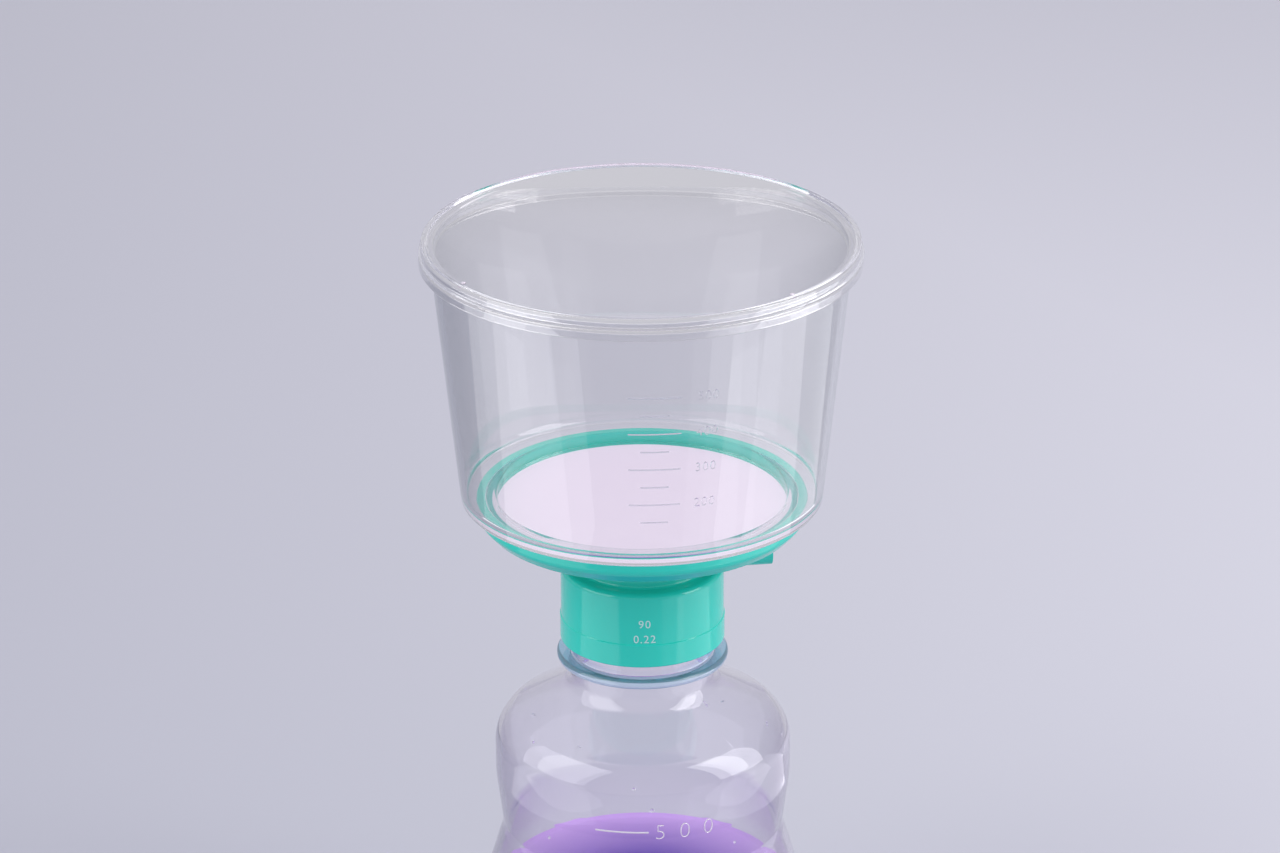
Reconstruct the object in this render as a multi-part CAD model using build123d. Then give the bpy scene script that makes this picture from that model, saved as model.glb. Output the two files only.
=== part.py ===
from build123d import *
from math import radians, tan
import os

os.makedirs("parts", exist_ok=True)

# A bottle-top vacuum filtration unit, 500 mL. Millimetres. The axis of the unit is Z, the bottle
# stands on Z = 0 and the graduations face -Y. Radii are from the axis, heights from the foot.

# ---- Receiver bottle, blow-moulded clear polystyrene ----
base_radius = 46.1          # wide lower body
base_body_height = 54.0     # where the lower body starts to draw in
grip_radius = 41.0          # finger grip round the middle
grip_rise = 17.0            # lower body's top to the grip
upper_radius = 43.2         # body above the grip
upper_rise = 17.0           # grip to the upper body
upper_body_length = 16.1    # up to where the side and the sloping shoulder would meet
shoulder_slope = 30.0       # degrees from level
neck_radius = 20.8
neck_throat = 7.3           # plain neck between shoulder and bead
bead_overhang = 4.1
bead_thickness = 2.5
bead_round = 1.0
neck_length = 23.4          # bead to lip
bottle_wall = 1.4
foot_width = 5.5            # flat ring that the bottle stands on
foot_corner = 6.0
punt_rise = 3.2             # the underside is domed up inside the foot ring
punt_round = 2.5
foot_round = 1.5
base_round = 14.0           # corner rounds up the body
grip_round = 8.0
upper_round = 40.0
shoulder_round = 11.0
throat_round = 5.0
filtrate_height = 50.2
filtrate_gap = 0.05

# ---- Neck thread, one start, right-handed ----
thread_pitch = 4.2
thread_turns = 1.3
thread_height = 1.2
thread_root_width = 2.2
thread_crest_width = 0.9
thread_clearance = 0.4      # crest to the facing wall
thread_bite = 0.3           # how far a ridge is rooted in its wall
thread_top_margin = 2.4     # lip to the thread's upper end

# ---- Neck gasket ----
gasket_thickness = 1.5
gasket_clearance = 0.4

# ---- Filter base, one turquoise moulding ----
collar_wall = 1.3
collar_roof = 1.9
collar_bottom_gap = 4.2     # plain neck seen under the collar
collar_band_height = 6.9    # slightly thicker band at the mouth
collar_band_step = 0.25
collar_round = 1.6
collar_mouth_round = 0.3
collar_shoulder = 4.7       # how far the collar stands out round the hub
hub_wall = 1.8
hub_height = 13.9           # collar top to the dish's lower edge
dish_rim_width = 2.65
dish_skirt_height = 7.7     # lower edge to the rim's top
rim_above_membrane = 2.15
dish_rim_round = 0.4
dish_edge_draft = 3.0       # how far the rounded lower edge draws in
dish_edge_height = 3.4
dish_edge_round = 3.0
dish_foot_round = 0.9
dish_skirt_foot = 1.8
dish_floor = 1.8
dish_floor_depth = 1.6      # under the membrane, at the seat
dish_floor_fall = 2.8       # from the seat to the drain
seat_width = 3.6
spout_bore = 4.2
spout_wall = 1.8
spout_reach = 8.0           # below the collar roof's underside
spout_tip_angle = 35.0
drain_round = 1.0
hub_top_round = 1.5
hub_foot_round = 0.8
port_wall = 1.6
port_bore = 2.8
port_length = 13.9          # free tube that the hose goes over
port_boss_wall = 1.2        # thicker root of the tube, a stop for the hose
port_boss_reach = 0.1       # past the collar's side
port_angle = 8.0            # degrees round from +X
port_rise = 1.7             # port axis above the collar's top
rib_rings = 8
rib_width = 1.0
rib_inner_radius = 8.5
rib_channels = 8
rib_channel_width = 2.4
gusset_count = 8
gusset_thickness = 1.2
gusset_drop = 8.0
gusset_foot_gap = 0.3       # gusset to the dish's lower edge

# ---- Fibre plug in the vacuum port ----
plug_length = 8.0
plug_recess = 1.5
plug_clearance = 0.05

# ---- Membrane ----
membrane_radius = 45.0
membrane_thickness = 0.16
membrane_clearance = 0.25   # disc to the dish's bore

# ---- Funnel cup, clear polystyrene ----
cup_overhang = 4.2          # cup's foot beyond the dish
cup_flare = 8.2             # lip beyond the foot
cup_wall = 1.5
cup_floor = 1.8
cup_height = 76.9           # floor's underside to the lip
cup_fillet = 3.0
cup_corner = 0.9
clamp_width = 3.2           # ring that holds the membrane down
clamp_clearance = 0.2
clamp_round = 0.8
flange_width = 2.8
flange_drop = 3.3
flange_wall = 1.2
lip_above_flange = 1.5
flange_round = 0.4

# ---- Lid, clear polystyrene ----
lid_thickness = 1.1
lid_rim_rise = 0.5
lid_rim_width = 1.8
lid_skirt_wall = 1.4
lid_skirt_clearance = 0.3   # skirt's foot to the cup's flange
lid_lip_clearance = 0.7     # skirt to the cup's lip, all round
lid_edge_round = 0.5
lid_inner_round = 0.3

# ---- Worked out from the sizes above ----
slope = tan(radians(shoulder_slope))
grip_height = base_body_height + grip_rise
upper_body_height = grip_height + upper_rise
shoulder_height = upper_body_height + upper_body_length
throat_height = shoulder_height + (upper_radius - neck_radius) * slope
bead_height = throat_height + neck_throat
bead_top = bead_height + bead_thickness
bead_radius = neck_radius + bead_overhang
lip_height = bead_top + neck_length

collar_bore = neck_radius + thread_height + thread_clearance
collar_radius = collar_bore + collar_wall
collar_bottom = bead_top + collar_bottom_gap
roof_underside = lip_height + gasket_thickness
collar_top = roof_underside + collar_roof
hub_radius = collar_radius - collar_shoulder
port_radius = port_bore + port_wall
port_boss_end = collar_radius + port_boss_reach
port_reach = port_boss_end + port_length

dish_bottom = collar_top + hub_height
rim_top = dish_bottom + dish_skirt_height
dish_bore = membrane_radius + membrane_clearance
dish_radius = dish_bore + dish_rim_width
cup_bottom = rim_top
clamp_radius = dish_bore - clamp_clearance
membrane_top = rim_top - rim_above_membrane
seat_height = membrane_top - membrane_thickness
seat_bore = dish_bore - seat_width
floor_edge_height = seat_height - dish_floor_depth
floor_drain_height = floor_edge_height - dish_floor_fall

cup_foot_radius = dish_radius + cup_overhang
cup_lip_radius = cup_foot_radius + cup_flare
flange_radius = cup_lip_radius + flange_width
lid_radius = cup_lip_radius + lid_lip_clearance + lid_skirt_wall
cup_lip = cup_bottom + cup_height
flange_top = cup_lip - lip_above_flange


def outline(*corners):
    """A closed face from corners of (radius, height, optional corner round)."""
    points = [corner[:2] for corner in corners]
    rounds = [corner[2] if len(corner) > 2 else 0 for corner in corners]
    return make_face(FilletPolyline(*points, radius=rounds, close=True))


def turned(*corners):
    """The outline of the same corners, turned round the axis."""
    return revolve(Plane.XZ * outline(*corners), Axis.Z)


def ring(inner, outer, bottom, top):
    return turned((inner, bottom), (outer, bottom), (outer, top), (inner, top))


def helical_ridge(wall_radius, outward, bottom, start_angle):
    """One thread ridge on a wall; outward is 1 on the neck and -1 inside the collar."""
    path = Helix(thread_pitch, thread_pitch * thread_turns, wall_radius)
    section_plane = Plane(path @ 0, x_dir=(outward, 0, 0), z_dir=path % 0)
    flank = (thread_root_width - thread_crest_width) / 2 / thread_height
    half_crest = thread_crest_width / 2
    half_root = half_crest + flank * (thread_height + thread_bite)
    section = section_plane * make_face(
        Polyline(
            (-thread_bite, -half_root),
            (thread_height, -half_crest),
            (thread_height, half_crest),
            (-thread_bite, half_root),
            close=True,
        )
    )
    ridge = sweep(section, path=path, is_frenet=True)
    return Pos(0, 0, bottom) * Rot(0, 0, start_angle) * ridge


def bottle_half_section(top):
    """Half of the bottle's outer section, from the axis out, closed at the height top."""
    foot_outer = base_radius - foot_corner
    foot_inner = foot_outer - foot_width
    return outline(
        (0, punt_rise),
        (foot_inner - punt_rise, punt_rise, punt_round),
        (foot_inner, 0, foot_round),
        (base_radius, 0, foot_corner),
        (base_radius, base_body_height, base_round),
        (grip_radius, grip_height, grip_round),
        (upper_radius, upper_body_height, upper_round),
        (upper_radius, shoulder_height, shoulder_round),
        (neck_radius, throat_height, throat_round),
        (neck_radius, top),
        (0, top),
    )


def bottle_inside(inset):
    """The solid that fills the bottle up past its lip, a given distance in from the outside."""
    half = bottle_half_section(lip_height + 4 * inset)
    whole = half + mirror(half, Plane.YZ)
    inner = offset(whole, amount=-inset)
    right = Pos(base_radius, lip_height) * Rectangle(2 * base_radius, 4 * lip_height)
    return revolve(Plane.XZ * (inner & right), Axis.Z)


def make_bottle():
    body = revolve(Plane.XZ * bottle_half_section(lip_height), Axis.Z)
    root = neck_radius - bottle_wall / 2
    bead = turned(
        (root, bead_height),
        (bead_radius, bead_height, bead_round),
        (bead_radius, bead_top, bead_round),
        (root, bead_top),
    )
    thread_bottom = lip_height - thread_top_margin - thread_pitch * thread_turns
    ridge = helical_ridge(neck_radius, 1, thread_bottom, 0)
    return body + bead + ridge - bottle_inside(bottle_wall)


def make_filtrate():
    inside = bottle_inside(bottle_wall + filtrate_gap)
    below = Pos(0, 0, filtrate_height - lip_height) * Cylinder(
        2 * base_radius, 2 * lip_height
    )
    return inside & below


def make_gasket():
    inner = neck_radius - bottle_wall
    return ring(inner, collar_bore - gasket_clearance, lip_height, roof_underside)


def floor_top(radius):
    """Height of the dish's drained floor at a radius."""
    share = (radius - spout_bore) / (seat_bore - spout_bore)
    return floor_drain_height + dish_floor_fall * share


def base_shell():
    """Spout, dish, hub and collar as one turned section."""
    spout_radius = spout_bore + spout_wall
    hub_bore = hub_radius - hub_wall
    skirt_inner = dish_radius - dish_edge_draft - dish_skirt_foot
    band_top = collar_bottom + collar_band_height
    band_radius = collar_radius + collar_band_step
    return turned(
        (spout_bore, roof_underside - spout_reach),
        (spout_bore, floor_top(spout_bore), drain_round),
        (seat_bore, floor_top(seat_bore)),
        (seat_bore, seat_height),
        (dish_bore, seat_height),
        (dish_bore, rim_top),
        (dish_radius, rim_top, dish_rim_round),
        (dish_radius, dish_bottom + dish_edge_height, dish_edge_round),
        (dish_radius - dish_edge_draft, dish_bottom, dish_foot_round),
        (skirt_inner, dish_bottom),
        (skirt_inner, floor_top(skirt_inner) - dish_floor),
        (hub_radius, floor_top(hub_radius) - dish_floor, hub_top_round),
        (hub_radius, collar_top, hub_foot_round),
        (collar_radius, collar_top, collar_round),
        (collar_radius, band_top + collar_band_step),
        (band_radius, band_top),
        (band_radius, collar_bottom, collar_mouth_round),
        (collar_bore, collar_bottom),
        (collar_bore, roof_underside),
        (hub_bore, roof_underside),
        (hub_bore, floor_top(hub_bore) - dish_floor),
        (spout_radius, floor_top(spout_radius) - dish_floor),
        (spout_radius, roof_underside - spout_reach),
    )


def support_ribs():
    """Concentric ribs that carry the membrane, cut through by radial drain channels."""
    pitch = (seat_bore - rib_inner_radius) / rib_rings
    ribs = []
    for number in range(rib_rings):
        radius = rib_inner_radius + number * pitch
        root = floor_top(radius) - dish_floor / 2
        ribs.append(ring(radius - rib_width / 2, radius + rib_width / 2, root, seat_height))
    channels = []
    for number in range(rib_channels):
        turn = Rot(0, 0, 360 * number / rib_channels)
        size = (seat_bore, rib_channel_width, 4 * dish_skirt_height)
        channel = Box(*size, align=(Align.MIN, Align.CENTER, Align.CENTER))
        channels.append(Pos(0, 0, seat_height) * turn * channel)
    return Compound(ribs) - channels


def gussets():
    """Radial stiffeners between the hub and the underside of the dish."""
    outer = dish_radius - dish_edge_draft - dish_skirt_foot / 2
    inner = hub_radius - hub_wall / 2
    top = floor_top(outer) - dish_floor / 2
    inner_top = floor_top(inner) - dish_floor / 2
    side = make_face(
        Polyline(
            (inner, inner_top - gusset_drop),
            (outer, dish_bottom + gusset_foot_gap),
            (outer, top),
            (inner, inner_top),
            close=True,
        )
    )
    plate = extrude(Plane.XZ * side, gusset_thickness / 2, both=True)
    step = 360 / gusset_count
    return [Rot(0, 0, port_angle + step * (number + 0.5)) * plate for number in range(gusset_count)]


def along_port(radius, start, length):
    """A cylinder on the vacuum port's axis, from a distance out along it."""
    rod = Cylinder(radius, length, align=(Align.CENTER, Align.CENTER, Align.MIN))
    place = Pos(0, 0, collar_top + port_rise) * Rot(0, 0, port_angle)
    return place * Pos(start, 0, 0) * Rot(0, 90, 0) * rod


def spout_end_cut():
    """What a slanting cut takes off the spout, so that the last drop runs to one side."""
    spout_radius = spout_bore + spout_wall
    spout_end = roof_underside - spout_reach
    size = 6 * spout_radius
    below = Box(size, size, size, align=(Align.CENTER, Align.CENTER, Align.MAX))
    slanted = Pos(-spout_radius, 0, spout_end) * Rot(0, -spout_tip_angle, 0) * below
    return slanted & Pos(0, 0, spout_end) * Cylinder(1.2 * spout_radius, 2 * spout_radius)


def make_filter_base():
    shell = base_shell() + support_ribs() + gussets()
    port_root = hub_radius - hub_wall / 2
    boss = along_port(port_radius + port_boss_wall, port_root, port_boss_end - port_root)
    tube = boss + along_port(port_radius, port_root, port_reach - port_root)
    down = (Align.CENTER, Align.CENTER, Align.MAX)
    tube -= Pos(0, 0, roof_underside) * Cylinder(collar_bore, 2 * hub_height, align=down)
    shell += tube
    shell -= along_port(port_bore, hub_radius - 2 * hub_wall, port_reach)
    ridge_bottom = lip_height - thread_top_margin - thread_pitch * (thread_turns + 0.5)
    shell += helical_ridge(collar_bore, -1, ridge_bottom, 0)
    return shell - spout_end_cut()


def make_port_plug():
    start = port_reach - plug_recess - plug_length
    return along_port(port_bore - plug_clearance, start, plug_length)


def make_membrane():
    return Pos(0, 0, seat_height) * Cylinder(
        membrane_radius, membrane_thickness, align=(Align.CENTER, Align.CENTER, Align.MIN)
    )


def cup_radius(height):
    """Outside radius of the cup's tapered wall at a height."""
    share = (height - cup_bottom) / cup_height
    return cup_foot_radius + (cup_lip_radius - cup_foot_radius) * share


def make_funnel_cup():
    floor = cup_bottom + cup_floor
    web = flange_top - flange_wall
    skirt_inner = flange_radius - flange_wall
    return turned(
        (clamp_radius - clamp_width, membrane_top),
        (clamp_radius, membrane_top),
        (clamp_radius, cup_bottom),
        (cup_foot_radius, cup_bottom, cup_corner),
        (cup_radius(web), web),
        (skirt_inner, web),
        (skirt_inner, flange_top - flange_drop),
        (flange_radius, flange_top - flange_drop, flange_round),
        (flange_radius, flange_top, flange_round),
        (cup_radius(flange_top), flange_top),
        (cup_lip_radius, cup_lip),
        (cup_lip_radius - cup_wall, cup_lip),
        (cup_radius(floor) - cup_wall, floor, cup_fillet),
        (clamp_radius - clamp_width, floor, clamp_round),
    )


def make_lid():
    plate_top = cup_lip + lid_thickness
    rim_top_height = plate_top + lid_rim_rise
    skirt_bottom = flange_top + lid_skirt_clearance
    return turned(
        (0, cup_lip),
        (lid_radius - lid_skirt_wall, cup_lip),
        (lid_radius - lid_skirt_wall, skirt_bottom),
        (lid_radius, skirt_bottom, lid_inner_round),
        (lid_radius, rim_top_height, lid_edge_round),
        (lid_radius - lid_rim_width, rim_top_height, lid_inner_round),
        (lid_radius - lid_rim_width, plate_top),
        (0, plate_top),
    )


pieces = {
    "bottle": make_bottle(),
    "filtrate": make_filtrate(),
    "neck_gasket": make_gasket(),
    "filter_base": make_filter_base(),
    "port_plug": make_port_plug(),
    "membrane": make_membrane(),
    "funnel_cup": make_funnel_cup(),
    "lid": make_lid(),
}
for name, piece in pieces.items():
    export_step(piece, f"parts/{name}.step")
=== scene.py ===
import bpy
import math
from mathutils import Matrix, Vector


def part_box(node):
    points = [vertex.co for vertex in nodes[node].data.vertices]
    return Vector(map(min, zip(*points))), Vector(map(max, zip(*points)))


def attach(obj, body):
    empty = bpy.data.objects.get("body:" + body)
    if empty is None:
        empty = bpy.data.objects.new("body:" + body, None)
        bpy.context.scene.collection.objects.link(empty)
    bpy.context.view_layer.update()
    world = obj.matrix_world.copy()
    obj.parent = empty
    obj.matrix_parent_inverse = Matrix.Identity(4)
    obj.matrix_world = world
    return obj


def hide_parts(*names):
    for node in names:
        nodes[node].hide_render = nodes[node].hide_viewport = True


# A vacuum filtration unit dressed for the camera. Z up, graduations towards -Y.
# The values of the pieces are in millimetres, those of finishes, lamps and camera in metres.
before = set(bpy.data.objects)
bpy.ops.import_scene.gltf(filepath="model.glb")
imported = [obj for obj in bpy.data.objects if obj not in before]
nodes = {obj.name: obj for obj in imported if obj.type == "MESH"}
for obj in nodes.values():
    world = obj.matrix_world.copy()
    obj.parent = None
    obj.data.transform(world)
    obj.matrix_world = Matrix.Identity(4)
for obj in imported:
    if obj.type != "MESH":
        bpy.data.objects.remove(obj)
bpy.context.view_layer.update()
bpy.ops.object.select_all(action="DESELECT")
print("frame loaded:", len(nodes), "nodes")

mm = 0.001
samePlace = 0.000002                    # metres, nearer points are taken as one
seamGap = 0.000001                      # metres, nearer points are merged


class Wire:
    # a socket of a finish under construction; sums and products of it add their own nodes
    def __init__(self, sheet, socket):
        self.sheet = sheet
        self.socket = socket

    def maths(self, operation, *values):
        return self.sheet.node("ShaderNodeMath", {"operation": operation}, dict(enumerate(values)))

    def __add__(self, other):
        return self.maths("ADD", self, other)

    def __sub__(self, other):
        return self.maths("SUBTRACT", self, other)

    def __rsub__(self, other):
        return self.maths("SUBTRACT", other, self)

    def __mul__(self, other):
        return self.maths("MULTIPLY", self, other)

    __radd__ = __add__
    __rmul__ = __mul__


class Sheet:
    # the nodes of one finish, or of the surroundings
    def __init__(self, name, surroundings=False):
        kinds = ("ShaderNodeBsdfPrincipled", "ShaderNodeOutputMaterial")
        if surroundings:
            kinds = ("ShaderNodeBackground", "ShaderNodeOutputWorld")
        self.owner = (bpy.data.worlds if surroundings else bpy.data.materials).new(name)
        self.owner.use_nodes = True
        self.tree = self.owner.node_tree
        self.tree.nodes.clear()
        self.shader = self.tree.nodes.new(kinds[0])
        self.output = self.tree.nodes.new(kinds[1])
        self.tree.links.new(self.shader.outputs[0], self.output.inputs["Surface"])

    def give(self, socket, value):
        # a wire is linked to the socket, a plain value is set
        if isinstance(value, Wire):
            self.tree.links.new(value.socket, socket)
        else:
            socket.default_value = value

    def node(self, kind, settings=None, inputs=None, out=0):
        made = self.tree.nodes.new(kind)
        for name, value in (settings or {}).items():
            setattr(made, name, value)
        for name, value in (inputs or {}).items():
            self.give(made.inputs[name], value)
        return Wire(self, made.outputs[out])

    def shade(self, **values):
        # the shader's sockets by name, with underscores for spaces
        for name, value in values.items():
            self.give(self.shader.inputs[name.replace("_", " ")], value)

    def place(self):
        return self.node("ShaderNodeTexCoord", out="Object")

    def noise(self, scale, detail=3.0):
        inputs = {"Vector": self.place(), "Scale": scale, "Detail": detail}
        return self.node("ShaderNodeTexNoise", None, inputs, "Fac")

    def reach(self, near, far):
        # grows from 0 to 1 between two distances from the axis
        across = {0: self.place(), 1: (1.0, 1.0, 0.0)}
        flat = self.node("ShaderNodeVectorMath", {"operation": "MULTIPLY"}, across)
        length = self.node("ShaderNodeVectorMath", {"operation": "LENGTH"}, {0: flat}, "Value")
        return self.node("ShaderNodeMapRange", None, {0: length, 1: near, 2: far})

    def blend(self, share, low, high):
        # goes from one colour to another with the share; sockets 6, 7 and 2 are the colours'
        colours = {"Factor": share, 6: low, 7: high}
        return self.node("ShaderNodeMix", {"data_type": "RGBA"}, colours, 2)

    def bump(self, height, strength, distance):
        inputs = {"Height": height, "Strength": strength, "Distance": distance}
        return self.node("ShaderNodeBump", None, inputs)

    def letThrough(self, tint):
        # shadow and diffuse rays pass, so the lamps light what stands behind a clear wall;
        # reflected rays pass, or a thin wall would lead them round and round
        through = self.node("ShaderNodeBsdfTransparent", None, {"Color": tint})
        shown = Wire(self, self.shader.outputs[0])
        for ray in ("Is Shadow Ray", "Is Diffuse Ray", "Is Reflection Ray"):
            share = self.node("ShaderNodeLightPath", out=ray)
            shown = self.node("ShaderNodeMixShader", None, {0: share, 1: shown, 2: through})
        self.give(self.output.inputs["Surface"], shown)


# finishes; noise scales are in waves to the metre
polystyrene = {
    "refraction": 1.58,
    "coatRefraction": 2.0,              # where a finish has a coat
    "gloss": 0.004,
    "scuffs": 0.012,                    # what the scuffs add to the roughness
    "scuffScale": 190.0,
    "flowScale": 30.0,                  # the moulding's flow lines
    "flowDepth": 0.00015,
}
clearFinishes = {
    # tint seen straight on, the painted shade of an upright wall seen along its face, and how much
    # the flow lines show
    "clearCup": {
        "tint": (0.950, 0.948, 0.952, 1.0),
        "edge": (0.14, 0.18, 0.20, 1.0),
        "flow": 0.03,
    },
    "clearLid": {
        "tint": (0.970, 0.965, 0.965, 1.0),
        "edge": (0.90, 0.89, 0.89, 1.0),
        "flow": 0.03,
    },
    "clearRim": {                       # the turned-down rims of cup and lid
        "tint": (0.970, 0.968, 0.970, 1.0),
        "edge": (0.50, 0.50, 0.52, 1.0),
        "flow": 0.03,
        "coat": 1.0,
    },
    "clearFloor": {                     # the cup's floor, over the seal of the membrane
        "tint": (0.970, 0.970, 0.970, 1.0),
        "edge": (0.50, 0.50, 0.52, 1.0),
        "flow": 0.03,
        "refraction": 1.20,
    },
    "clearMarks": {                     # the cup's lines
        "tint": (0.930, 0.925, 0.950, 1.0),
        "edge": (0.80, 0.79, 0.83, 1.0),
        "flow": 0.05,
    },
    "faintMarks": {                     # the cup's figures
        "tint": (0.940, 0.935, 0.950, 1.0),
        "edge": (0.80, 0.79, 0.83, 1.0),
        "flow": 0.05,
        "refraction": 1.15,
    },
    "frostMarks": {                     # the bottle's line and figures, the lid's dots
        "tint": (0.940, 0.890, 0.950, 1.0),
        "edge": (0.80, 0.76, 0.86, 1.0),
        "flow": 0.05,
        "clearness": 0.55,
    },
    "clearBottle": {
        "tint": (0.955, 0.945, 0.975, 1.0),
        "edge": (0.32, 0.27, 0.40, 1.0),
        "flow": 0.18,
        "refraction": 1.48,
    },
    "beadReflectionTint": {                      # the bead under the bottle's neck, its blue tint a painted reflection of the teal collar and the violet filtrate
        "tint": (0.560, 0.790, 0.920, 1.0),
        "edge": (0.50, 0.62, 0.86, 1.0),
        "flow": 0.05,
        "clearness": 0.80,
    },
    "clearDrop": {
        "tint": (0.980, 0.960, 0.995, 1.0),
        "edge": (0.90, 0.86, 0.96, 1.0),
        "flow": 0.05,
        "clearness": 0.80,
    },
}


def makeClear(name, values, common=polystyrene):
    sheet = Sheet(name)
    waves = sheet.noise(common["flowScale"], detail=2.0)
    # painted shade: the edge colour darkens an upright wall where it is seen along its face, in
    # place of the dark surroundings it would reflect and bend into view there
    along = sheet.node("ShaderNodeLayerWeight", None, {"Blend": 0.5}, "Facing")
    outward = sheet.node("ShaderNodeNewGeometry", out="Normal")
    facesUp = sheet.node("ShaderNodeSeparateXYZ", None, {0: outward}, "Z")
    upright = 1 - facesUp * facesUp
    sheet.shade(
        Base_Color=sheet.blend(along * along * upright, values["tint"], values["edge"]),
        Roughness=sheet.noise(common["scuffScale"]) * common["scuffs"] + common["gloss"],
        IOR=values.get("refraction", common["refraction"]),
        Transmission_Weight=values.get("clearness", 1.0),
        Coat_Weight=values.get("coat", 0.0),
        Coat_IOR=common["coatRefraction"],
        Normal=sheet.bump(waves, values["flow"], common["flowDepth"]),
    )
    sheet.letThrough(values["tint"])
    return sheet.owner


turquoise = {
    "colour": (0.025, 0.685, 0.560, 1.0),
    "deep": (0.021, 0.640, 0.525, 1.0),
    "cloudScale": 38.0,
    "refraction": 1.50,
    "gloss": 0.07,
    "unevenGloss": 0.05,
    "glow": 0.12,                       # light scattered under the surface
    "glowReach": (0.4, 1.0, 0.9),       # of red, green and blue, in shares of the scale
    "glowScale": 0.0012,
    "grainScale": 2600.0,
    "grain": 0.25,
    "grainDepth": 0.00002,
}


def makeTurquoise(name, values):
    sheet = Sheet(name)
    clouds = sheet.noise(values["cloudScale"], detail=4.0)
    grain = sheet.noise(values["grainScale"], detail=2.0)
    sheet.shade(
        Base_Color=sheet.blend(clouds, values["deep"], values["colour"]),
        Roughness=clouds * values["unevenGloss"] + values["gloss"],
        IOR=values["refraction"],
        Subsurface_Weight=values["glow"],
        Subsurface_Radius=values["glowReach"],
        Subsurface_Scale=values["glowScale"],
        Normal=sheet.bump(grain, values["grain"], values["grainDepth"]),
    )
    return sheet.owner


membraneLook = {
    "colour": (0.880, 0.785, 0.900, 1.0),
    "shade": (0.835, 0.735, 0.860, 1.0),
    "rim": (0.008, 0.500, 0.480, 1.0),  # painted refraction: the teal base, which the clear clamp ring over the edge bends into view
    "tealViewReach": 0.0432,                 # radius where the painted teal begins
    "tealViewFade": 0.0002,
    "cloudScale": 60.0,
    "cloudShare": 0.7,
    "fibreScale": 5200.0,
    "fibreShare": 0.3,
    "refraction": 1.45,
    "roughness": 0.72,
    "fibreRoughness": 0.2,
    "fibre": 0.4,
    "fibreDepth": 0.00003,
}


def makeMembrane(name, values):
    sheet = Sheet(name)
    fibres = sheet.noise(values["fibreScale"], detail=5.0)
    clouds = sheet.noise(values["cloudScale"], detail=3.0)
    mottle = clouds * values["cloudShare"] + fibres * values["fibreShare"]
    fleece = sheet.blend(mottle, values["shade"], values["colour"])
    # painted refraction: the membrane's edge takes the teal of the base seen through the clamp ring
    tealView = sheet.reach(values["tealViewReach"], values["tealViewReach"] + values["tealViewFade"])
    sheet.shade(
        Base_Color=sheet.blend(tealView, fleece, values["rim"]),
        Roughness=fibres * values["fibreRoughness"] + values["roughness"],
        IOR=values["refraction"],
        Normal=sheet.bump(fibres, values["fibre"], values["fibreDepth"]),
    )
    return sheet.owner


liquid = {
    # deep in the middle and paler at the wall: partly the thinner layer over the foot's round,
    # partly a painted reflection
    "deep": (0.11, 0.035, 0.44, 1.0),
    "shallowAndSheen": (0.78, 0.49, 1.00, 1.0),
    "deepReach": 0.018,
    "shallowSheenReach": 0.0455,
    "refraction": 1.34,
    "mirror": 0.25,                     # strength of its reflections, 0.5 is plain
    "clearness": 0.20,
    "gloss": 0.01,
    "swirlScale": 45.0,
    "swirlShare": 0.2,
    "swirlGloss": 0.02,
    "swirl": 0.2,
    "swirlDepth": 0.0001,
}


def makeLiquid(name, values):
    sheet = Sheet(name)
    swirl = sheet.noise(values["swirlScale"], detail=2.0)
    # paler towards the wall: partly thinner liquid, partly painted reflection
    share = sheet.reach(values["deepReach"], values["shallowSheenReach"])
    share = share + swirl * values["swirlShare"] - values["swirlShare"] / 2
    sheet.shade(
        Base_Color=sheet.blend(share, values["deep"], values["shallowAndSheen"]),
        Roughness=swirl * values["swirlGloss"] + values["gloss"],
        IOR=values["refraction"],
        Specular_IOR_Level=values["mirror"],
        Transmission_Weight=values["clearness"],
        Normal=sheet.bump(swirl, values["swirl"], values["swirlDepth"]),
    )
    return sheet.owner


softFinishes = {
    # matt: fibre, rubber and ink, each with a fine grain
    "plugFibre": {
        "colour": (0.88, 0.88, 0.86, 1.0),
        "roughness": 0.85,
        "grainScale": 3200.0,
        "grainDepth": 0.0001,
    },
    "sealRubber": {
        "colour": (0.74, 0.75, 0.76, 1.0),
        "roughness": 0.55,
        "grainScale": 900.0,
        "grainDepth": 0.00003,
    },
    "paleInk": {
        "colour": (0.60, 0.86, 0.84, 1.0),
        "roughness": 0.45,
        "grainScale": 4200.0,
        "grainDepth": 0.00001,
    },
}
softGrain = {
    "darkening": 0.86,                  # of the colour, where the grain is low
    "unevenness": 0.1,                  # of the roughness
    "show": 0.5,
}


def makeSoft(name, values, common=softGrain):
    sheet = Sheet(name)
    grain = sheet.noise(values["grainScale"], detail=4.0)
    dark = tuple(common["darkening"] * part for part in values["colour"][:3]) + (1.0,)
    sheet.shade(
        Base_Color=sheet.blend(grain, dark, values["colour"]),
        Roughness=grain * common["unevenness"] + values["roughness"],
        Normal=sheet.bump(grain, common["show"], values["grainDepth"]),
    )
    return sheet.owner


finishes = {name: makeClear(name, values) for name, values in clearFinishes.items()}
finishes.update({name: makeSoft(name, values) for name, values in softFinishes.items()})
finishes["turquoiseMoulding"] = makeTurquoise("turquoiseMoulding", turquoise)
finishes["membraneFleece"] = makeMembrane("membraneFleece", membraneLook)
finishes["violetFiltrate"] = makeLiquid("violetFiltrate", liquid)


def dress(node, finish):
    mesh = nodes[node].data
    mesh.materials.clear()
    mesh.materials.append(finishes[finish])


dress("filter_base", "turquoiseMoulding")
dress("membrane", "membraneFleece")
dress("port_plug", "plugFibre")
dress("neck_gasket", "sealRubber")
print("finishes made:", len(finishes))


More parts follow.
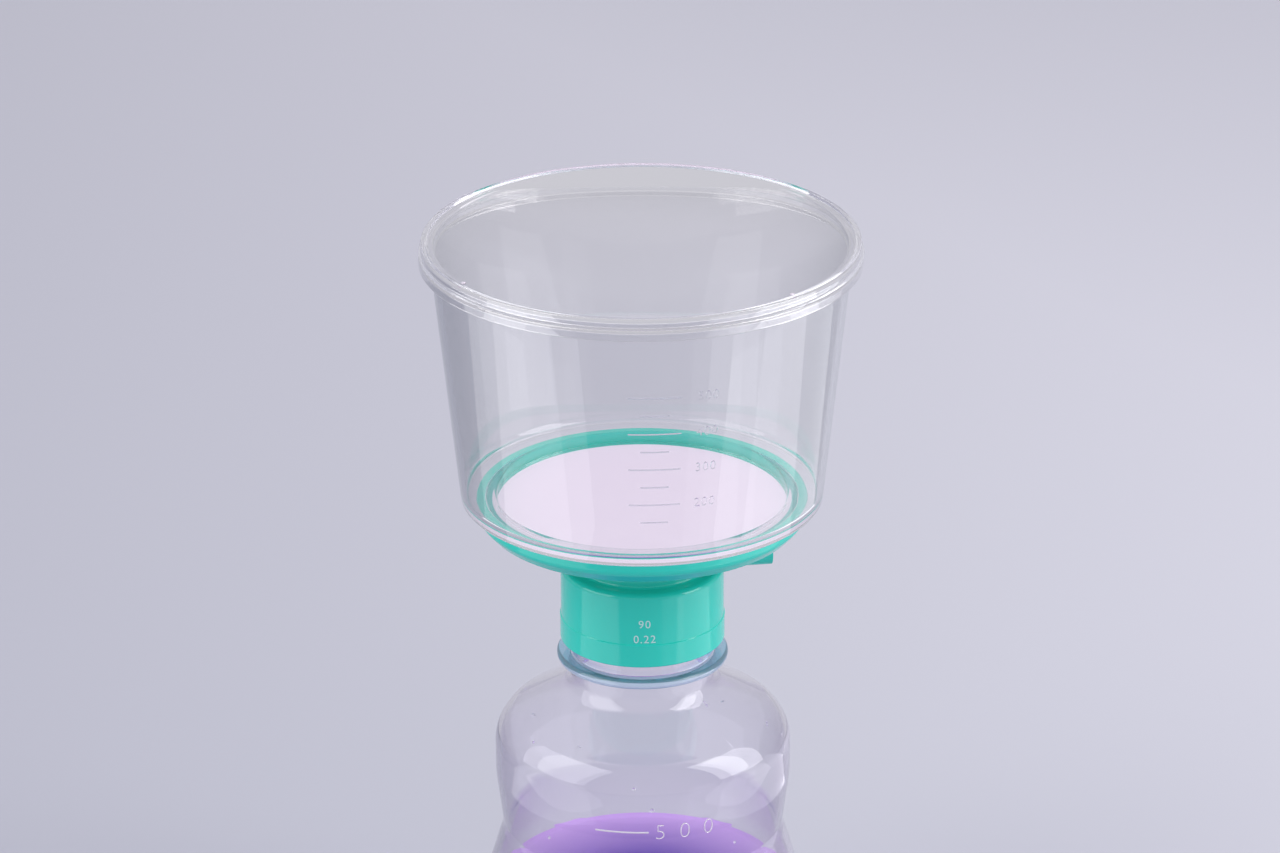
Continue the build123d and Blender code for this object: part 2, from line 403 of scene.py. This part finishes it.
# turned pieces
def drawOutline(name, corners, closed=False, rounding=7):
    # corners are (radius, height) or (radius, height, setback of the corner's round), the outline
    # is drawn through them in the XZ plane, and the piece is left in edit mode
    bpy.ops.object.select_all(action="DESELECT")
    bpy.ops.mesh.primitive_circle_add(vertices=3, radius=mm, location=(0, 0, 0))
    piece = bpy.context.object
    piece.name = name
    bpy.ops.object.mode_set(mode="EDIT")
    bpy.ops.mesh.select_all(action="SELECT")
    bpy.ops.mesh.merge(type="CENTER")
    here = Vector((0, 0, 0))
    for number, corner in enumerate(corners):
        there = Vector((corner[0], 0, corner[1])) * mm
        if number == 0:
            bpy.ops.transform.translate(value=there)
        else:
            bpy.ops.mesh.extrude_region_move(TRANSFORM_OT_translate={"value": there - here})
        here = there
    if closed:
        pickPoints(piece, [corners[0], corners[-1]])
        bpy.ops.mesh.edge_face_add()
    rounded = [corner for corner in corners if len(corner) > 2]
    for setback in sorted({corner[2] for corner in rounded}, reverse=True):
        pickPoints(piece, [corner for corner in rounded if corner[2] == setback])
        bpy.ops.mesh.bevel(offset=setback * mm, segments=rounding, affect="VERTICES", profile=0.5)
    bpy.ops.mesh.select_all(action="SELECT")
    return piece


def pickPoints(piece, corners):
    # selects the points at some corners of the outline
    bpy.ops.mesh.select_all(action="DESELECT")
    bpy.ops.object.mode_set(mode="OBJECT")
    for point in piece.data.vertices:
        for corner in corners:
            if (point.co - Vector((corner[0], 0, corner[1])) * mm).length < samePlace:
                point.select = True
    bpy.ops.object.mode_set(mode="EDIT")


def finishMesh(piece, finish, creaseAngle=30):
    # in edit mode: closes seams and poles and turns the faces out, then shades the piece smooth
    bpy.ops.mesh.select_all(action="SELECT")
    bpy.ops.mesh.remove_doubles(threshold=seamGap)
    bpy.ops.mesh.normals_make_consistent(inside=False)
    bpy.ops.object.mode_set(mode="OBJECT")
    bpy.ops.object.shade_smooth_by_angle(angle=math.radians(creaseAngle))
    piece.data.materials.clear()
    piece.data.materials.append(finishes[finish])


def lathe(name, corners, finish, steps=300, closed=False):
    # a closed outline stands clear of the axis, an open one begins and ends on it
    piece = drawOutline(name, corners, closed)
    bpy.ops.mesh.spin(steps=steps, angle=math.tau, center=(0, 0, 0), axis=(0, 0, 1))
    finishMesh(piece, finish)
    return piece


def finishBand(piece, finish, radii, levels, slack=0.01):
    # gives its own finish to what lies between two radii and two levels
    piece.data.materials.append(finishes[finish])
    number = len(piece.data.materials) - 1
    for face in piece.data.polygons:
        middle = face.center / mm
        within = radii[0] < math.hypot(middle.x, middle.y) < radii[1]
        if within and levels[0] - slack < middle.z < levels[1] + slack:
            face.material_index = number


def inset(corners, wall, leastSetback=0.2):
    # the same outline one wall further in, each round kept concentric
    sides = []
    for a, b in zip(corners, corners[1:]):
        along = Vector((b[0] - a[0], b[1] - a[1])).normalized()
        across = Vector((-along.y, along.x)) * wall
        sides.append((Vector(a[:2]) + across, along))
    inner = []
    for number, corner in enumerate(corners):
        if number in (0, len(corners) - 1):
            start, along = sides[0] if number == 0 else sides[-1]
            spot = start + along * (Vector(corner[:2]) - start).dot(along)
            inner.append((spot.x, spot.y))
            continue
        (start, along), (nextStart, nextAlong) = sides[number - 1], sides[number]
        cross = along.cross(nextAlong)
        spot = start + along * ((nextStart - start).cross(nextAlong) / cross)
        if len(corner) > 2:
            half = math.tan(math.atan2(abs(cross), along.dot(nextAlong)) / 2)
            setback = corner[2] - wall * half * math.copysign(1, cross)
            inner.append((spot.x, spot.y, max(setback, leastSetback)))
        else:
            inner.append((spot.x, spot.y))
    return inner


def boxOf(node):
    # lowest and highest corner of a CAD node
    low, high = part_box(node)
    return low / mm, high / mm


def settle(piece, body, slot, *replaced):
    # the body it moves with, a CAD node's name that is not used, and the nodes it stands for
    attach(piece, body)
    if replaced:
        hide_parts(*replaced)


# raised and printed marks
def spinMark(name, level, bearings, section, wallAt, finish):
    # one raised line on a turned wall, between two bearings in degrees to the right of the front
    half = section["thick"] / 2
    root = section["air"]
    top = root + section["proud"]
    soft = section["proud"] / 3         # the crest's bevels
    corners = [
        (wallAt(level - half) + root, level - half),
        (wallAt(level - half) + top, level - half + soft, soft),
        (wallAt(level + half) + top, level + half - soft, soft),
        (wallAt(level + half) + root, level + half),
    ]
    piece = drawOutline(name, corners, closed=True, rounding=2)
    bpy.ops.mesh.edge_face_add()
    sweep = math.radians(bearings[1] - bearings[0])
    # the spin runs from the right towards the front
    bpy.ops.mesh.spin(steps=section["steps"], angle=sweep, center=(0, 0, 0), axis=(0, 0, 1))
    finishMesh(piece, finish)
    piece.rotation_euler = (0, 0, math.radians(bearings[1] - 90))
    bpy.ops.object.transform_apply(location=True, rotation=True, scale=True)
    return piece


def around(radius, level, turn):
    # a place on a circle round the axis, turned to the right from the front
    return Vector((math.sin(turn) * radius, -math.cos(turn) * radius, level))


figuresAhead = 0.3                      # set up this far off a wall, too near to catch a ledge
figureCurves = 5                        # steps of their rounds


def layFigures(name, words, look, place, wall, finish):
    # flat figures are set up before a wall, laid on it and given their thickness;
    # the place is the wall's radius, the level and the bearing
    radius, level, bearing = place
    reach = radius + figuresAhead
    bpy.ops.object.select_all(action="DESELECT")
    bpy.ops.object.text_add(location=(0, 0, 0))
    figures = bpy.context.object
    figures.data.body = words
    figures.data.space_character = look["spacing"]
    figures.data.offset = look["thinning"]
    figures.data.resolution_u = figureCurves
    bpy.ops.object.convert(target="MESH")
    figures = bpy.context.object
    figures.name = name
    bpy.ops.object.origin_set(type="ORIGIN_GEOMETRY", center="BOUNDS")
    turn = math.radians(bearing)
    figures.scale = [look["height"] * mm / figures.dimensions.y] * 3
    figures.rotation_euler = (math.radians(90), 0, turn)
    figures.location = around(reach, level, turn) * mm
    bpy.ops.object.transform_apply(location=True, rotation=True, scale=True)
    onWall = figures.modifiers.new("onWall", "SHRINKWRAP")
    onWall.target = wall
    onWall.wrap_method = "NEAREST_SURFACEPOINT"
    onWall.wrap_mode = "ABOVE_SURFACE"
    onWall.offset = look["air"] * mm
    bpy.ops.object.modifier_apply(modifier=onWall.name)
    raised = figures.modifiers.new("raised", "SOLIDIFY")
    raised.thickness = look["proud"] * mm
    raised.offset = 1.0
    bpy.ops.object.modifier_apply(modifier=raised.name)
    figures.data.materials.clear()
    figures.data.materials.append(finishes[finish])
    return figures


def joinPieces(name, pieces):
    bpy.ops.object.select_all(action="DESELECT")
    for piece in pieces:
        piece.select_set(True)
    bpy.context.view_layer.objects.active = pieces[0]
    bpy.ops.object.join()
    pieces[0].name = name
    return pieces[0]


def dome(name, radius, height, finish, fineness=4):
    # a low round cap standing on the XY plane
    bpy.ops.object.select_all(action="DESELECT")
    middle = (0, 0, 0)
    bpy.ops.mesh.primitive_ico_sphere_add(
        subdivisions=fineness, radius=radius * mm, location=middle)
    cap = bpy.context.object
    cap.name = name
    bpy.ops.object.mode_set(mode="EDIT")
    bpy.ops.mesh.select_all(action="SELECT")
    bpy.ops.transform.resize(value=(1, 1, height / radius), center_override=middle)
    bpy.ops.mesh.bisect(plane_co=middle, plane_no=(0, 0, 1), use_fill=True, clear_inner=True)
    finishMesh(cap, finish, creaseAngle=50)
    return cap


def placeCopy(piece, size, place, turn):
    # a copy with its own mesh, its place and size kept in the mesh
    bpy.ops.object.select_all(action="DESELECT")
    piece.select_set(True)
    bpy.context.view_layer.objects.active = piece
    bpy.ops.object.duplicate(linked=False)
    copy = bpy.context.object
    copy.scale = (size, size, size)
    copy.rotation_euler = turn
    copy.location = Vector(place) * mm
    bpy.ops.object.transform_apply(location=True, rotation=True, scale=True)
    return copy


# the cup, with its graduations and figures moulded on
cupLow, cupHigh = boxOf("funnel_cup")
membraneTop = boxOf("membrane")[1].z
cup = {
    "clampBore": 41.85,
    "clampRadius": 45.05,
    "footRadius": 52.1,
    "lipRadius": 60.3,
    "flangeRadius": cupHigh.x,
    "wall": 1.5,
    "floor": 1.8,
    "floorRise": 2.15,
    "lipAboveFlange": 1.5,
    "flangeDrop": 3.3,                  # height of the flange's turned-down skirt
    "flangeWall": 1.2,
    "air": 0.05,                        # keeps the clear faces off what they rest on
    "steps": 320,                       # round the piece; few would show as facets in the rim
    # setbacks of the corners' rounds
    "clampEdge": 0.3,
    "clampRoot": 0.4,
    "footRound": 0.9,
    "flangeRoot": 0.35,
    "flangeInside": 0.3,
    "flangeTip": (0.25, 0.4),           # inside and outside
    "flangeRound": 0.5,
    "lipOutside": 0.3,
    "lipInside": 0.5,
    "floorRound": 2.8,
    "floorEdge": 0.8,
    # bands with their own finish
    "rimBand": 1.3,                     # inwards from the flange's edge
    "floorBand": 50.5,                  # out to this radius
}
graduations = {
    "lowest": 16.5,                     # over the membrane
    "step": 5.56,
    "count": 8,
    "bearing": 3.6,                     # degrees to the right of the front
    "longReach": 7.5,                   # degrees to each side
    "shortReach": 4.1,
    "figureBearing": 18.6,
    "firstFigure": 200,                 # stands by the second line
    "figureStep": 100,                  # from one long line to the next
    "line": {"thick": 0.42, "proud": 0.22, "air": 0.04, "steps": 14},
    "figure": {"height": 2.7, "proud": 0.06, "air": 0.04, "thinning": -0.012, "spacing": 1.1},
}


def cupWall(height, values=cup):
    # outside radius of the tapered wall
    foot = cupLow.z + values["floorRise"]
    share = (height - foot) / (cupHigh.z - foot)
    return values["footRadius"] + (values["lipRadius"] - values["footRadius"]) * share


def makeCup(values):
    seat = cupLow.z + values["air"]
    foot = cupLow.z + values["floorRise"] + values["air"]
    floorTop = cupLow.z + values["floorRise"] + values["floor"]
    flangeTop = cupHigh.z - values["lipAboveFlange"]
    web = flangeTop - values["flangeWall"]
    rim = values["flangeRadius"]
    skirt = rim - values["flangeWall"]
    skirtLow = flangeTop - values["flangeDrop"]
    corners = [
        (values["clampBore"], seat, values["clampEdge"]),
        (values["clampRadius"], seat, values["clampEdge"]),
        (values["clampRadius"], foot, values["clampRoot"]),
        (values["footRadius"], foot, values["footRound"]),
        (cupWall(web), web, values["flangeRoot"]),
        (skirt, web, values["flangeInside"]),
        (skirt, skirtLow, values["flangeTip"][0]),
        (rim, skirtLow, values["flangeTip"][1]),
        (rim, flangeTop, values["flangeRound"]),
        (cupWall(flangeTop), flangeTop, values["lipOutside"]),
        (cupWall(cupHigh.z), cupHigh.z, values["lipOutside"]),
        (cupWall(cupHigh.z) - values["wall"], cupHigh.z, values["lipInside"]),
        (cupWall(floorTop) - values["wall"], floorTop, values["floorRound"]),
        (values["clampBore"], floorTop, values["floorEdge"]),
    ]
    shell = lathe("cupShell", corners, "clearCup", values["steps"], closed=True)
    rimLevels = (web - values["flangeDrop"], flangeTop)
    finishBand(shell, "clearRim", (rim - values["rimBand"], math.inf), rimLevels)
    finishBand(shell, "clearFloor", (0, values["floorBand"]), (seat, floorTop))
    return shell


def markCup(shell, values):
    marks = []
    for number in range(values["count"]):
        level = membraneTop + values["lowest"] + number * values["step"]
        isLong = number % 2 == 1
        reach = values["longReach" if isLong else "shortReach"]
        bearings = (values["bearing"] - reach, values["bearing"] + reach)
        marks.append(spinMark("cupLine", level, bearings, values["line"], cupWall, "clearMarks"))
        if isLong:
            words = str(values["firstFigure"] + values["figureStep"] * (number // 2))
            place = (cupWall(level), level, values["figureBearing"])
            figure = values["figure"]
            marks.append(layFigures("cupFigures", words, figure, place, shell, "faintMarks"))
    return marks


cupShell = makeCup(cup)
cupMarks = markCup(cupShell, graduations)
settle(joinPieces("cupShell", [cupShell] + cupMarks), "filter_top", "funnel_cup", "funnel_cup")
print("cup turned, with", len(cupMarks), "marks")

# the lid
lidLow, lidHigh = boxOf("lid")
lid = {
    "radius": lidHigh.x,
    "rimRise": 0.5,
    "rimWidth": 1.8,
    "rimSlope": 0.25,
    "skirtWall": 1.4,
    "air": 0.05,
    "steps": 320,
    # setbacks of the corners' rounds
    "skirtRoot": 0.35,
    "skirtTip": (0.3, 0.35),            # inside and outside
    "rimRound": 0.6,
    "rimInside": 0.4,
    "plateEdge": 0.35,
    # the rim's band with its own finish
    "rimBand": 1.5,                     # inwards from the edge
    "rimBandTop": 0.3,                  # below the rim's top
    # the moulded dots inside the rim
    "dots": (-56.0, 44.4),              # bearings
    "dotRadius": 0.75,
    "dotHeight": 0.35,
    "dotInset": 1.2,
}


def makeLid(values):
    under = cupHigh.z + values["air"]
    rimTop = lidHigh.z
    plateTop = rimTop - values["rimRise"]
    bore = values["radius"] - values["skirtWall"]
    rimInside = values["radius"] - values["rimWidth"]
    corners = [
        (0, under),
        (bore, under, values["skirtRoot"]),
        (bore, lidLow.z, values["skirtTip"][0]),
        (values["radius"], lidLow.z, values["skirtTip"][1]),
        (values["radius"], rimTop, values["rimRound"]),
        (rimInside, rimTop, values["rimInside"]),
        (rimInside - values["rimSlope"], plateTop, values["plateEdge"]),
        (0, plateTop),
    ]
    shell = lathe("lidShell", corners, "clearLid", values["steps"])
    rimLevels = (lidLow.z, rimTop - values["rimBandTop"])
    finishBand(shell, "clearRim", (values["radius"] - values["rimBand"], math.inf), rimLevels)
    return shell


def makeLidDots(values):
    pattern = dome("lidDot", values["dotRadius"], values["dotHeight"], "frostMarks")
    level = lidHigh.z - values["rimRise"] + values["air"]
    radius = values["radius"] - values["rimWidth"] - values["dotInset"]
    dots = []
    for bearing in values["dots"]:
        turn = math.radians(bearing)
        dots.append(placeCopy(pattern, 1.0, around(radius, level, turn), (0, 0, turn)))
    bpy.data.objects.remove(pattern)
    return dots


settle(joinPieces("lidShell", [makeLid(lid)] + makeLidDots(lid)), "lid", "lid", "lid")
print("lid turned")

# the bottle, with its neck thread, and its fill line moulded on
bottleHigh = boxOf("bottle")[1]
bottle = {
    "wall": 1.4,
    "bead": (24.9, 124.33, 2.5),        # radius, lower height, thickness
    "beadRoot": 0.3,
    "beadRound": 1.0,
    "beadTintBand": 21.2,                   # the painted reflection tint, from this radius outwards
    "lipRound": 0.45,
    # radius, height and the setback of the corner's round, from the middle of the foot upwards
    "outline": [
        (0, 3.2),
        (31.4, 3.2, 1.2),
        (34.6, 0, 0.6),
        (46.1, 0, 6.0),
        (46.1, 54.0, 2.05),
        (41.0, 71.0, 1.7),
        (43.2, 88.0, 2.6),
        (43.2, 104.1, 6.35),
        (20.8, 117.033, 2.9),
        (20.8, bottleHigh.z),
    ],
}
neckThread = {
    "pitch": 4.2,
    "turns": 1.3,
    "height": 1.2,
    "rootWidth": 2.2,
    "crestWidth": 0.9,
    "crestRound": 0.25,
    "belowLip": 2.4,                    # where the ridge ends
    "air": 0.05,
    "steps": 150,
}
fillLine = {
    "level": 87.9,
    "bearings": (-18.4, 2.1),
    "figures": "500",
    "figureBearing": 16.2,
    "line": {"thick": 0.55, "proud": 0.30, "air": 0.04, "steps": 24},
    "figure": {"height": 4.7, "proud": 0.26, "air": 0.04, "thinning": -0.028, "spacing": 2.0},
}


def makeBottle(values):
    # outline upwards, bead and lip, then the inside down again
    outside = values["outline"]
    inside = inset(outside, values["wall"])
    radius, low, thick = values["bead"]
    high = low + thick
    neck = outside[-1][0]
    root, soft = values["beadRoot"], values["beadRound"]
    bead = [(neck, low, root), (radius, low, soft), (radius, high, soft), (neck, high, root)]
    lip = [(reach, bottleHigh.z, values["lipRound"]) for reach in (neck, inside[-1][0])]
    corners = outside[:-1] + bead + lip + inside[-2::-1]
    shell = lathe("bottleShell", corners, "clearBottle")
    # painted reflection: the bead takes a blue tint standing in for the collar's and the filtrate's
    # light
    finishBand(shell, "beadReflectionTint", (values["beadTintBand"], math.inf), (low, high))
    return shell, inside


def makeThread(values):
    # right-handed, one start; the ridge is drawn once and wound up the neck
    neck = bottle["outline"][-1][0]
    start = bottleHigh.z - values["belowLip"] - values["pitch"] * values["turns"]
    root = neck + values["air"]
    crest = neck + values["height"]
    ridge = [
        (root, start - values["rootWidth"] / 2),
        (crest, start - values["crestWidth"] / 2, values["crestRound"]),
        (crest, start + values["crestWidth"] / 2, values["crestRound"]),
        (root, start + values["rootWidth"] / 2),
    ]
    piece = drawOutline("neckThread", ridge, closed=True, rounding=3)
    bpy.ops.object.mode_set(mode="OBJECT")
    wind = piece.modifiers.new("wind", "SCREW")
    wind.axis = "Z"
    wind.angle = math.tau * values["turns"]
    wind.screw_offset = values["pitch"] * values["turns"] * mm
    wind.steps = values["steps"]
    wind.render_steps = values["steps"]
    bpy.ops.object.modifier_apply(modifier=wind.name)
    bpy.ops.object.mode_set(mode="EDIT")
    bpy.ops.mesh.select_all(action="SELECT")
    bpy.ops.mesh.fill_holes(sides=0)
    finishMesh(piece, "clearBottle", creaseAngle=40)
    return piece


def bottleWall(level):
    # outside radius of the body between the corners of its outline, from the wall's foot up
    outline = bottle["outline"][3:]
    for lower, upper in zip(outline, outline[1:]):
        if lower[1] <= level <= upper[1]:
            share = (level - lower[1]) / (upper[1] - lower[1])
            return lower[0] + (upper[0] - lower[0]) * share


def markBottle(shell, values):
    level = values["level"]
    line = spinMark("fillLine", level, values["bearings"], values["line"], bottleWall, "frostMarks")
    place = (bottleWall(level), level, values["figureBearing"])
    words = values["figures"]
    figures = layFigures("fillFigures", words, values["figure"], place, shell, "frostMarks")
    return [line, figures]


bottleShell, bottleInside = makeBottle(bottle)
bottleMarks = markBottle(bottleShell, fillLine)
bottleParts = [bottleShell, makeThread(neckThread)] + bottleMarks
settle(joinPieces("bottleShell", bottleParts), "bottle", "bottle", "bottle")
print("bottle turned, with its thread")

# the figures printed on the collar, in pale ink
collarPrint = {
    "radius": 23.7,
    "lines": {"90": 144.6, "0.22": 139.9},  # each with its level
    "bearing": 1.5,
    "figure": {"height": 2.4, "proud": 0.02, "air": 0.015, "thinning": 0.0, "spacing": 1.15},
}


def printCollar(values):
    collar = nodes["filter_base"]
    lines = []
    for words, level in values["lines"].items():
        place = (values["radius"], level, values["bearing"])
        lines.append(layFigures("collarPrint", words, values["figure"], place, collar, "paleInk"))
    return joinPieces("collarPrint", lines)


settle(printCollar(collarPrint), "filter_top", "filter_base")
print("collar printed")

# the filtrate, and the drops it left on the bottle's wall
filtrateHigh = boxOf("filtrate")[1]
filtrate = {
    "air": 0.06,                        # between it and the bottle's wall
    "meniscus": 0.9,                    # rise of the surface at the wall
    "meniscusReach": 1.2,               # inwards from the wall
    "meniscusLip": (0.25, 0.1),         # width and fall
    "meniscusRounds": (0.15, 0.1, 0.8),  # at the wall, at the lip and at its foot
    "dropHeight": 0.4,                  # of a drop one millimetre in radius
    "dropAir": 0.03,                    # between a drop and the wall
    "drops": [
        # bearing, level and radius
        (-74.0, 108.5, 0.80), (-32.3, 107.8, 0.70), (-3.5, 101.1, 0.55), (3.5, 94.4, 0.65),
        (66.7, 113.0, 0.60), (76.0, 103.0, 0.85), (-41.0, 80.5, 0.50), (118.0, 92.0, 0.70),
        (-128.0, 84.0, 0.60), (-112.0, 99.0, 0.55), (152.0, 90.0, 0.55), (40.0, 79.0, 0.45),
    ],
}


def makeFiltrate(values):
    level = filtrateHigh.z
    surface = level - values["meniscus"]
    side = bottleInside[3][0] - values["air"]
    lipWidth, lipFall = values["meniscusLip"]
    rounds = values["meniscusRounds"]
    # the bottle's inside up to the foot of its wall, then the surface back to the axis
    corners = inset(bottleInside[:5], values["air"])[:4] + [
        (side, level, rounds[0]),
        (side - lipWidth, level - lipFall, rounds[1]),
        (side - values["meniscusReach"], surface, rounds[2]),
        (0, surface),
    ]
    return lathe("filtrateBody", corners, "violetFiltrate")


def makeDrops(values):
    pattern = dome("drop", 1.0, values["dropHeight"], "clearDrop")
    drops = []
    for bearing, level, radius in values["drops"]:
        turn = math.radians(bearing)
        # how far the wall leans out over one millimetre of height
        lean = math.atan(bottleWall(level + 0.5) - bottleWall(level - 0.5))
        reach = bottleWall(level) - (bottle["wall"] + values["dropAir"]) / math.cos(lean)
        place = around(reach, level, turn)
        drops.append(placeCopy(pattern, radius, place, (-math.pi / 2 - lean, 0, turn)))
    bpy.data.objects.remove(pattern)
    return joinPieces("filtrateDrops", drops)


settle(makeFiltrate(filtrate), "bottle", "filtrate", "filtrate")
settle(makeDrops(filtrate), "bottle", "filtrate")
print("filtrate poured, with", len(filtrate["drops"]), "drops")

# the floor, with painted light making it brighter to the right and the back, and the air around
studio = {
    "floorSize": 9.0,
    "floorShaded": (0.430, 0.435, 0.505, 1.0),
    "floorLit": (0.690, 0.684, 0.750, 1.0),
    "paintedLightRight": 1.1,               # share of the lit colour gained to the metre
    "paintedLightBack": 0.75,
    "middleShare": 0.36,
    "floorRoughness": 0.85,
    "unevenRoughness": 0.05,
    "cloudScale": 8.0,
    "floorMirror": 0.1,
    "surround": (0.81, 0.81, 0.88, 1.0),
    "surroundStrength": 0.62,
    "surroundInGloss": 0.76,            # as it shows in reflections and through the clear walls
}

bpy.ops.object.select_all(action="DESELECT")
bpy.ops.mesh.primitive_plane_add(size=studio["floorSize"], location=(0, 0, 0))
floor = bpy.context.object
floor.name = "floor"
floorSheet = Sheet("paleFloor")
toRight = floorSheet.node("ShaderNodeSeparateXYZ", None, {0: floorSheet.place()}, "X")
toBack = floorSheet.node("ShaderNodeSeparateXYZ", None, {0: floorSheet.place()}, "Y")
# painted light: the floor grows paler to the right and the back, as the lamps light it there
paintedLight = toRight * studio["paintedLightRight"] + toBack * studio["paintedLightBack"]
litShare = paintedLight + studio["middleShare"]
clouds = floorSheet.noise(studio["cloudScale"])
floorSheet.shade(
    Base_Color=floorSheet.blend(litShare, studio["floorShaded"], studio["floorLit"]),
    Roughness=clouds * studio["unevenRoughness"] + studio["floorRoughness"],
    Specular_IOR_Level=studio["floorMirror"],
)
floor.data.materials.append(floorSheet.owner)

airSheet = Sheet("studioAir", surroundings=True)
glossy = airSheet.node("ShaderNodeLightPath", out="Is Glossy Ray")
passing = airSheet.node("ShaderNodeLightPath", out="Is Transmission Ray")
either = airSheet.node("ShaderNodeMath", {"operation": "MAXIMUM"}, {0: glossy, 1: passing})
gain = studio["surroundInGloss"] - studio["surroundStrength"]
airSheet.shade(Color=studio["surround"], Strength=either * gain + studio["surroundStrength"])
bpy.context.scene.world = airSheet.owner

# bearings are in degrees round the unit from the camera's side, left is negative
lamps = {
    "leftBox": {
        "bearing": -66.0,
        "distance": 1.30,
        "middle": 1.00,                 # height of the lamp's middle
        "width": 1.30,
        "height": 1.50,
        "power": 13.4,
    },
    "rightBox": {
        "bearing": 74.0,
        "distance": 1.30,
        "middle": 1.00,
        "width": 0.80,
        "height": 1.50,
        "power": 15.2,
    },
    "topBox": {
        "bearing": 180.0,
        "distance": 0.30,
        "middle": 2.20,
        "width": 1.40,
        "height": 1.40,
        "power": 3.6,
        "colour": (0.93, 0.93, 1.00),
    },
}
lampAim = 0.17                          # height on the axis that the lamps face
white = (1.0, 1.0, 1.0)
cards = {
    # low cards, seen only as reflections in the upright walls
    "leftCard": {"bearing": -62.0, "width": 0.29, "power": 0.30},
    "rightCard": {"bearing": 77.0, "width": 0.28, "power": 0.31},
    "rightFaintCard": {"bearing": 42.5, "width": 0.15, "power": 0.06},
}
# the cards lean outwards: distances of their lower and upper edges, height of the upper one
cardSlope = {"near": 0.22, "far": 0.56, "top": 0.20}


def areaLamp(name, place, turn, values, height):
    bpy.ops.object.light_add(type="AREA", location=place, rotation=turn)
    lamp = bpy.context.object
    lamp.name = name
    lamp.data.shape = "RECTANGLE"
    lamp.data.size = values["width"]
    lamp.data.size_y = height
    lamp.data.energy = values["power"]
    lamp.data.color = values.get("colour", white)
    return lamp


def lightBox(name, values):
    place = around(values["distance"], values["middle"], math.radians(values["bearing"]))
    aim = Vector((0, 0, lampAim)) - place
    areaLamp(name, place, aim.to_track_quat("-Z", "Y").to_euler(), values, values["height"])


def reflectionCard(name, values, slope):
    bearing = math.radians(values["bearing"])
    run = slope["far"] - slope["near"]
    place = around(slope["near"] + run / 2, slope["top"] / 2, bearing)
    turn = (math.pi - math.atan2(slope["top"], run), 0, bearing)
    card = areaLamp(name, place, turn, values, math.hypot(run, slope["top"]))
    card.visible_camera = False
    card.visible_diffuse = False


for name, values in lamps.items():
    lightBox(name, values)
for name, values in cards.items():
    reflectionCard(name, values, cardSlope)
print("studio lit:", len(lamps), "lamps and", len(cards), "cards")

# clear walls stand many deep, so a ray may pass many of them
wallsDeep = 32
mirrorsDeep = 12
bpy.context.scene.cycles.max_bounces = wallsDeep
bpy.context.scene.cycles.transmission_bounces = wallsDeep
bpy.context.scene.cycles.transparent_max_bounces = wallsDeep
bpy.context.scene.cycles.glossy_bounces = mirrorsDeep

# the camera
view = {
    "lens": 154.69,                     # lens and sensor in millimetres
    "sensor": 36.0,
    "farthest": 50.0,
    "place": (0.0, -1.4525, 0.8058),
    "tilt": 22.77,                      # degrees down
    "turn": 0.02,                       # degrees to the left
    "roll": -0.2,
}
bpy.ops.object.camera_add(location=view["place"])
camera = bpy.context.object
turn = Matrix.Rotation(math.radians(view["turn"]), 3, "Z")
tilt = Matrix.Rotation(math.radians(90 - view["tilt"]), 3, "X")
roll = Matrix.Rotation(math.radians(view["roll"]), 3, "Z")
camera.rotation_euler = (turn @ tilt @ roll).to_euler()
camera.data.lens = view["lens"]
camera.data.sensor_width = view["sensor"]
camera.data.clip_end = view["farthest"]
bpy.context.scene.camera = camera
bpy.context.scene.view_settings.view_transform = "Standard"
